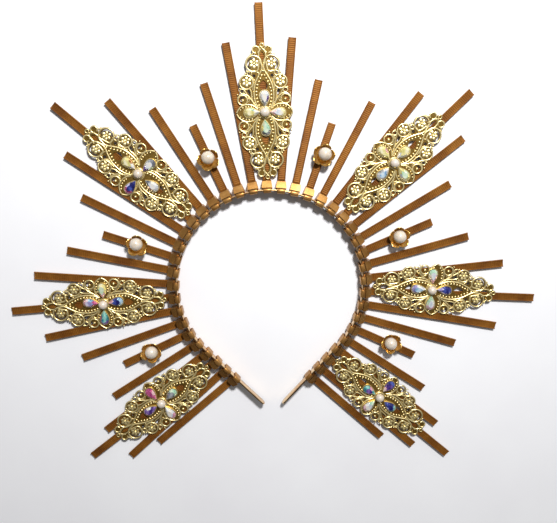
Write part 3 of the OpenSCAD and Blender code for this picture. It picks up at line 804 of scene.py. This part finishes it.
# each tint: its middle, deep and bright colour
AURORA = {
    "clear": ("#E8ECF2", "#C9D4E4", "#F7F2E4"), "lemon": ("#EFE6A0", "#D2CC7C", "#F9F4D0"),
    "mint": ("#C4E6CB", "#8FC4A8", "#E6F4DC"), "rose": ("#EBB9CB", "#C77F9F", "#F7E0E4"),
    "magenta": ("#C4578F", "#8A2F6E", "#E79AB8"), "lavender": ("#B9B4E0", "#8780C2", "#DCD9F2"),
    "sky": ("#A9CDEA", "#6C9CCB", "#D8EBF5"), "teal": ("#5FB2B4", "#2F7F8E", "#A6DCD2"),
    "violet": ("#6A4AA0", "#432B78", "#9A7FC8"), "indigo": ("#2C3386", "#1B1E5C", "#4F62B8"),
    "smoke": ("#8F95A0", "#5F6370", "#B9C0C6"), "amber": ("#C08A58", "#85572F", "#E8C9A0"),
}
# tints of the four drops of each filigree, outward, left, inward and right of the ray: the body,
# the flank turned to the light, the point and the round end
TINTS = (
    (("violet", "clear", "violet", "violet"), ("clear", "clear", "clear", "rose"),
     ("smoke", "smoke", "smoke", "mint"), ("magenta", "rose", "magenta", "magenta")),
    (("lavender", "sky", "magenta", "rose"), ("teal", "magenta", "teal", "violet"),
     ("indigo", "indigo", "rose", "sky"), ("mint", "lemon", "rose", "lemon")),
    (("lemon", "amber", "clear", "lemon"), ("indigo", "lavender", "indigo", "magenta"),
     ("clear", "rose", "smoke", "clear"), ("clear", "mint", "violet", "smoke")),
    (("clear", "violet", "smoke", "clear"), ("lemon", "mint", "clear", "lemon"),
     ("mint", "lemon", "mint", "smoke"), ("clear", "lemon", "rose", "lemon")),
    (("lemon", "clear", "clear", "lemon"), ("lemon", "rose", "lemon", "lemon"),
     ("sky", "smoke", "clear", "clear"), ("mint", "clear", "lemon", "lemon")),
    (("indigo", "lavender", "lavender", "indigo"), ("clear", "rose", "rose", "mint"),
     ("sky", "clear", "clear", "lavender"), ("clear", "mint", "mint", "rose")),
    (("indigo", "lavender", "indigo", "teal"), ("violet", "indigo", "rose", "indigo"),
     ("violet", "rose", "teal", "teal"), ("clear", "clear", "mint", "rose")),
)


def aurora_glass(tint):
    material, tree, shader = new_material("aurora_crystal_" + tint)
    body, deep, bright = AURORA[tint]
    place = add_node(tree, "ShaderNodeTexCoord").outputs["Object"]
    # the coating drifts in bands about 5 mm wide and clouds about 1.5 mm across
    drift = add_node(tree, "ShaderNodeTexWave", {"Scale": 60.0, "Distortion": 6.0, "Detail": 1.0},
                     {"Vector": place})
    cloud = add_node(tree, "ShaderNodeTexNoise", {"Scale": 620.0, "Detail": 2.0}, {"Vector": place})
    mixed = add_node(tree, "ShaderNodeMath", operation="MULTIPLY_ADD",
                     links={0: drift.outputs["Fac"], 2: cloud.outputs["Fac"]})
    mixed.inputs[1].default_value = 0.4
    tree.links.new(colour_ramp(tree, mixed.outputs["Value"], (0.4, deep), (0.68, body), (0.95, bright)),
                   shader.inputs["Base Color"])
    shader.inputs["Metallic"].default_value = 0.35
    shader.inputs["Roughness"].default_value = 0.06
    shader.inputs["Coat Weight"].default_value = 0.8
    shader.inputs["Coat Roughness"].default_value = 0.02
    return material


glass = {tint: aurora_glass(tint) for tint in AURORA}
bpy.ops.mesh.primitive_circle_add(vertices=CUT_FACETS, radius=1, fill_type="NGON")
drop = bpy.context.object
drop.name = "drop_pattern"
foot_outline = pear(DROP_LENGTH * FOOT_LENGTH, DROP_WIDTH * FOOT_WIDTH, CUT_FACETS)
for vertex, (x, y) in zip(drop.data.vertices, foot_outline):
    vertex.co = (x * MM, y * MM, STONE_BACK)
shape(drop)
bpy.ops.mesh.select_all(action="SELECT")
# each step up the stone: rise, then how far the outline grows or shrinks and moves to the round end
CUTS = ((0.36, 1.17, 0.0), (0.08, 1.0, 0.0), (0.32, 0.8, 0.00012), (0.24, 0.7, 0.00018))
for rise, grow, shift in CUTS:
    draw_out(0, shift, DROP_HEIGHT * rise)
    bpy.ops.transform.resize(value=(grow, grow, 1))
# each facet of the lower crown is cut into four that meet in a low point
crown_low = STONE_BACK + DROP_HEIGHT * 0.45
crown_high = STONE_BACK + DROP_HEIGHT * 0.8
choose(drop, "faces", lambda middle, normal: crown_low < middle.z < crown_high and abs(normal.z) < 0.99)
bpy.ops.mesh.poke(offset=0.00006)
face_outward()
bpy.ops.object.mode_set(mode="OBJECT")

# where the point and the round end begin along a drop, and how far a flank facet leans
POINT_FROM = -0.0014
ROUND_FROM = 0.0018
FLANK_LEAN = 0.25
for number, (row, (_, drops), tints) in enumerate(zip(FILIGREES, STONES, TINTS), 1):
    stones = []
    for spot, zones in zip(drops, tints):
        stone = copy_of(drop)
        for tint in zones:
            stone.data.materials.append(glass[tint])
        for face in stone.data.polygons:
            if face.center.y < POINT_FROM:
                face.material_index = 2
            elif face.center.y > ROUND_FROM:
                face.material_index = 3
            elif face.normal.x > FLANK_LEAN:
                face.material_index = 1
        stone.matrix_world = filigree_place(row) @ at(spot[0], spot[1], spot[2] - 90)
        settle(stone)
        stones.append(stone)
    join(stones, "aurora_drops_%d" % number)
    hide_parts("crystals_%d" % number)
    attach(stones[0], "root")
bpy.data.objects.remove(drop)


# Middle pearls: seven small half-drilled imitation pearls with flat backs, glued in the round
# collars where the drops meet.
CENTRE_PEARL = 0.00275
CENTRE_RISE = 0.00195
nacre, tree, shader = new_material("imitation_pearl_lacquer")
place = add_node(tree, "ShaderNodeTexCoord").outputs["Object"]
# nacre lacquer: cream with faint tan and grey clouds about 3 mm across, tiny orange peel
clouds = add_node(tree, "ShaderNodeTexNoise", {"Scale": 330.0, "Detail": 3.0}, {"Vector": place})
tree.links.new(colour_ramp(tree, clouds.outputs["Fac"], (0.3, "#C6B9A6"), (0.5, "#D6CCBD"), (0.7, "#D0C8C2")),
               shader.inputs["Base Color"])
peel = add_node(tree, "ShaderNodeTexNoise", {"Scale": 2500.0, "Detail": 1.0}, {"Vector": place})
bump = add_node(tree, "ShaderNodeBump", {"Strength": 0.15, "Distance": 0.00002},
                {"Height": peel.outputs["Fac"]})
tree.links.new(bump.outputs["Normal"], shader.inputs["Normal"])
shader.inputs["Roughness"].default_value = 0.3
shader.inputs["Subsurface Weight"].default_value = 0.15
shader.inputs["Subsurface Radius"].default_value = (0.002, 0.0012, 0.0008)
shader.inputs["Coat Weight"].default_value = 1.0
shader.inputs["Coat Roughness"].default_value = 0.16
shader.inputs["Sheen Weight"].default_value = 0.2

pearls = []
for row, (spot, _) in zip(FILIGREES, STONES):
    bpy.ops.mesh.primitive_uv_sphere_add(segments=40, ring_count=24, radius=CENTRE_PEARL,
                                         location=(0, 0, STONE_BACK + CENTRE_RISE))
    pearl = bpy.context.object
    settle(pearl)
    shape(pearl)
    bpy.ops.mesh.select_all(action="SELECT")
    bpy.ops.mesh.bisect(plane_co=(0, 0, STONE_BACK), plane_no=(0, 0, 1), use_fill=True, clear_inner=True,
                        threshold=1e-7)
    bpy.ops.object.mode_set(mode="OBJECT")
    pearl.matrix_world = filigree_place(row) @ at(*spot)
    settle(pearl)
    pearls.append(pearl)
join(pearls, "middle_pearls")
bpy.ops.object.shade_smooth_by_angle(angle=math.radians(40))
pearls[0].data.materials.append(nacre)
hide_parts("centre_pearls")
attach(pearls[0], "root")


# Flower caps: six gilded brass bead caps, each a cup of five petals drawn from sheet, glued on the
# short rays with one petal pointing outward.
# each row, in mm: the tie that carries the cap, how far out its pearl stands and how far to the tie's
# right, then the same for the cup, which the pearl does not sit quite in the middle of
CAPS = (
    (6, 28.6, 0.5, 29.1, 0.4), (12, 27.5, 1.6, 26.9, 0.8), (18, 27.8, 0.3, 26.8, 0.0),
    (24, 28.2, 1.4, 27.3, 1.0), (30, 27.2, -0.5, 26.9, 0.1), (36, 28.0, -1.8, 28.6, -1.8),
)
PETALS = 5
HALF_PETAL = math.radians(35.5)
PETAL_EDGE = 0.00009
FOOT_RADIUS = 0.0026
# the thickness of the sheet in millimetres
PETAL_SHEET = 0.4
# in shares of the petal's length: where its width begins to round off, over what length, and how far
# its sides dip; then how far its middle is pressed out, in millimetres
ROUND_START = 0.62
ROUND_LENGTH = 0.4
SIDE_DIP = 0.02
PETAL_BULGE = 0.22
# the cup's outside from its foot to the rim: distance from the axis and height in millimetres
CUP = ((2.0, 0.0), (3.3, 0.4), (4.5, 1.2), (5.4, 2.3), (6.1, 3.6), (6.7, 4.9))
cap_gilt, tree, shader = new_material("gilded_bead_cap_brass")
place = add_node(tree, "ShaderNodeTexCoord").outputs["Object"]
# warm gilding with slightly redder patches about 2 mm across and drawing marks 0.3 mm apart
patches = add_node(tree, "ShaderNodeTexNoise", {"Scale": 480.0, "Detail": 3.0}, {"Vector": place})
gilding = colour_ramp(tree, patches.outputs["Fac"], (0.3, "#CFA04C"), (0.5, "#E2BA6A"), (0.72, "#F0D490"))
tree.links.new(gilding, shader.inputs["Base Color"])
marks = add_node(tree, "ShaderNodeTexNoise", {"Scale": 3000.0, "Detail": 2.0}, {"Vector": place})
bump = add_node(tree, "ShaderNodeBump", {"Strength": 0.2, "Distance": 0.00003},
                {"Height": marks.outputs["Fac"]})
tree.links.new(bump.outputs["Normal"], shader.inputs["Normal"])
shader.inputs["Metallic"].default_value = 0.8
shader.inputs["Roughness"].default_value = 0.3


def cup_point(rise):
    """Distance from the axis and height on the cup's outside, rise 0 at the foot and 1 at the rim."""
    k = min(int(rise * (len(CUP) - 1)), len(CUP) - 2)
    t = rise * (len(CUP) - 1) - k
    return [a + (b - a) * t for a, b in zip(CUP[k], CUP[k + 1])]


bpy.ops.mesh.primitive_grid_add(x_subdivisions=12, y_subdivisions=14, size=2)
petal = bpy.context.object
petal.name = "petal_pattern"
for vertex in petal.data.vertices:
    across, up = vertex.co.x, (vertex.co.y + 1) / 2
    width = math.sqrt(1 - (max(0.0, up - ROUND_START) / ROUND_LENGTH) ** 2)
    turn = across * HALF_PETAL * width
    away, high = cup_point(up * (1.0 - SIDE_DIP * across * across))
    away += PETAL_BULGE * (1 - across * across) * up
    vertex.co = (away * math.sin(turn) * MM, away * math.cos(turn) * MM, SHEET_BACK + high * MM)
shape(petal)
face_outward()
bpy.ops.object.mode_set(mode="OBJECT")
outward = sum(face.normal.y for face in petal.data.polygons) > 0
apply_modifier(petal, "SOLIDIFY", thickness=PETAL_SHEET * MM, offset=-1 if outward else 1)
soften(petal, PETAL_EDGE)
caps = []
for tie, _, _, away, right in CAPS:
    stand = tie_layout(tie)[0] @ at(right, away)
    caps += [copy_of(petal, stand @ Matrix.Rotation(2 * math.pi * i / PETALS, 4, "Z")) for i in range(PETALS)]
    bpy.ops.mesh.primitive_cylinder_add(vertices=32, radius=FOOT_RADIUS, depth=PETAL_SHEET * MM,
                                        location=(0, 0, SHEET_BACK + PETAL_SHEET * MM / 2))
    foot = bpy.context.object
    settle(foot)
    apply_modifier(foot, "BEVEL", width=0.0001, segments=2, limit_method="ANGLE")
    foot.matrix_world = stand
    settle(foot)
    caps.append(foot)
join(caps, "petal_caps")
bpy.ops.object.shade_smooth_by_angle(angle=math.radians(40))
caps[0].data.materials.append(cap_gilt)
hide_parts("flower_caps")
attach(caps[0], "root")
bpy.data.objects.remove(petal)


# Cap pearls: six whole imitation pearls of 8 mm, lacquered like the small ones. Each is glued in its
# cup with its drilled end down, where a ring of edges marks the rim of the hole.
PEARL = 0.004
balls = []
for tie, away, right, _, _ in CAPS:
    bpy.ops.mesh.primitive_uv_sphere_add(segments=56, ring_count=36, radius=PEARL,
                                         location=(0, 0, SHEET_BACK + PETAL_SHEET * MM + 0.00005 + PEARL))
    ball = bpy.context.object
    settle(ball)
    shape(ball)
    choose(ball, "faces", lambda middle, normal: normal.z < -0.985)
    bpy.ops.mesh.inset(thickness=0.0002)
    bpy.ops.object.mode_set(mode="OBJECT")
    ball.matrix_world = tie_layout(tie)[0] @ at(right, away)
    settle(ball)
    balls.append(ball)
join(balls, "cap_pearls_8mm")
bpy.ops.object.shade_smooth()
balls[0].data.materials.append(nacre)
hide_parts("cap_pearls")
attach(balls[0], "root")


# Table, light and camera: the crown lies face up on a plain pale table, lit softly from above its top
# and a little from the right.
bpy.ops.mesh.primitive_plane_add(size=6, location=(0, 0, -0.0001))
table = bpy.context.object
table.name = "table_top"
table_paint, tree, shader = new_material("pale_table_paper")
place = add_node(tree, "ShaderNodeTexCoord").outputs["Object"]
# paper with hardly visible clouds about 80 mm across
clouds = add_node(tree, "ShaderNodeTexNoise", {"Scale": 12.0, "Detail": 5.0}, {"Vector": place})
tree.links.new(colour_ramp(tree, clouds.outputs["Fac"], (0.3, "#ECEEF4"), (0.7, "#F2F5FA")),
               shader.inputs["Base Color"])
shader.inputs["Roughness"].default_value = 0.75
table.data.materials.append(table_paint)
settle(table)

world = bpy.data.worlds.new("studio")
bpy.context.scene.world = world
world.use_nodes = True
# the room is bright toward the window above the crown and dim below it
ROOM_BRIGHTNESS = 0.48
tree = world.node_tree
toward = add_node(tree, "ShaderNodeVectorMath", operation="DOT_PRODUCT",
                  links={0: add_node(tree, "ShaderNodeTexCoord").outputs["Generated"]})
toward.inputs[1].default_value = Vector((0.25, 0.8, 0.55)).normalized()
room = colour_ramp(tree, add_node(tree, "ShaderNodeMapRange", {"From Min": -1.0, "From Max": 1.0},
                                  {"Value": toward.outputs["Value"]}).outputs["Result"],
                   (0.4, "#423D39"), (0.64, "#736C65"), (0.93, "#FFFFFF"))
tree.links.new(room, tree.nodes["Background"].inputs["Color"])
tree.nodes["Background"].inputs["Strength"].default_value = ROOM_BRIGHTNESS


def soft_lamp(name, place, aim, size, power, colour):
    bpy.ops.object.light_add(type="AREA", location=place)
    lamp = bpy.context.object
    lamp.name = name
    lamp.data.size = size
    lamp.data.energy = power
    lamp.data.color = linear(colour)[:3]
    lamp.rotation_euler = (Vector(aim) - Vector(place)).to_track_quat("-Z", "Y").to_euler()


soft_lamp("window_light", (0.13, 0.44, 0.6), (0, 0.02, 0), 0.09, 7.3, "#FFFCF9")

# camera: above the front face and leaned 14 degrees toward the halo's top, the photograph's view;
# sensor and lens are in millimetres
CAMERA_LEAN = math.radians(-14.04)
CAMERA_YAW = math.radians(-1.24)
CAMERA_ROLL = math.radians(-1.48)
CAMERA_AWAY = 0.4186
SENSOR_WIDTH = 36
LENS = 43.05
LOOK_AT = RING_CENTRE + Vector((0.0058, 0.0127, 0.0021))
turn = Matrix.Rotation(CAMERA_YAW, 3, "Y") @ Matrix.Rotation(CAMERA_LEAN, 3, "X")
turn = turn @ Matrix.Rotation(CAMERA_ROLL, 3, "Z")
bpy.ops.object.camera_add()
camera = bpy.context.object
camera.name = "photo_view"
camera.matrix_world = Matrix.Translation(LOOK_AT + turn.col[2] * CAMERA_AWAY) @ turn.to_4x4()
camera.data.sensor_width = SENSOR_WIDTH
camera.data.lens = LENS
camera.data.clip_start = 0.01
bpy.context.scene.camera = camera
bpy.context.scene.view_settings.view_transform = "Standard"
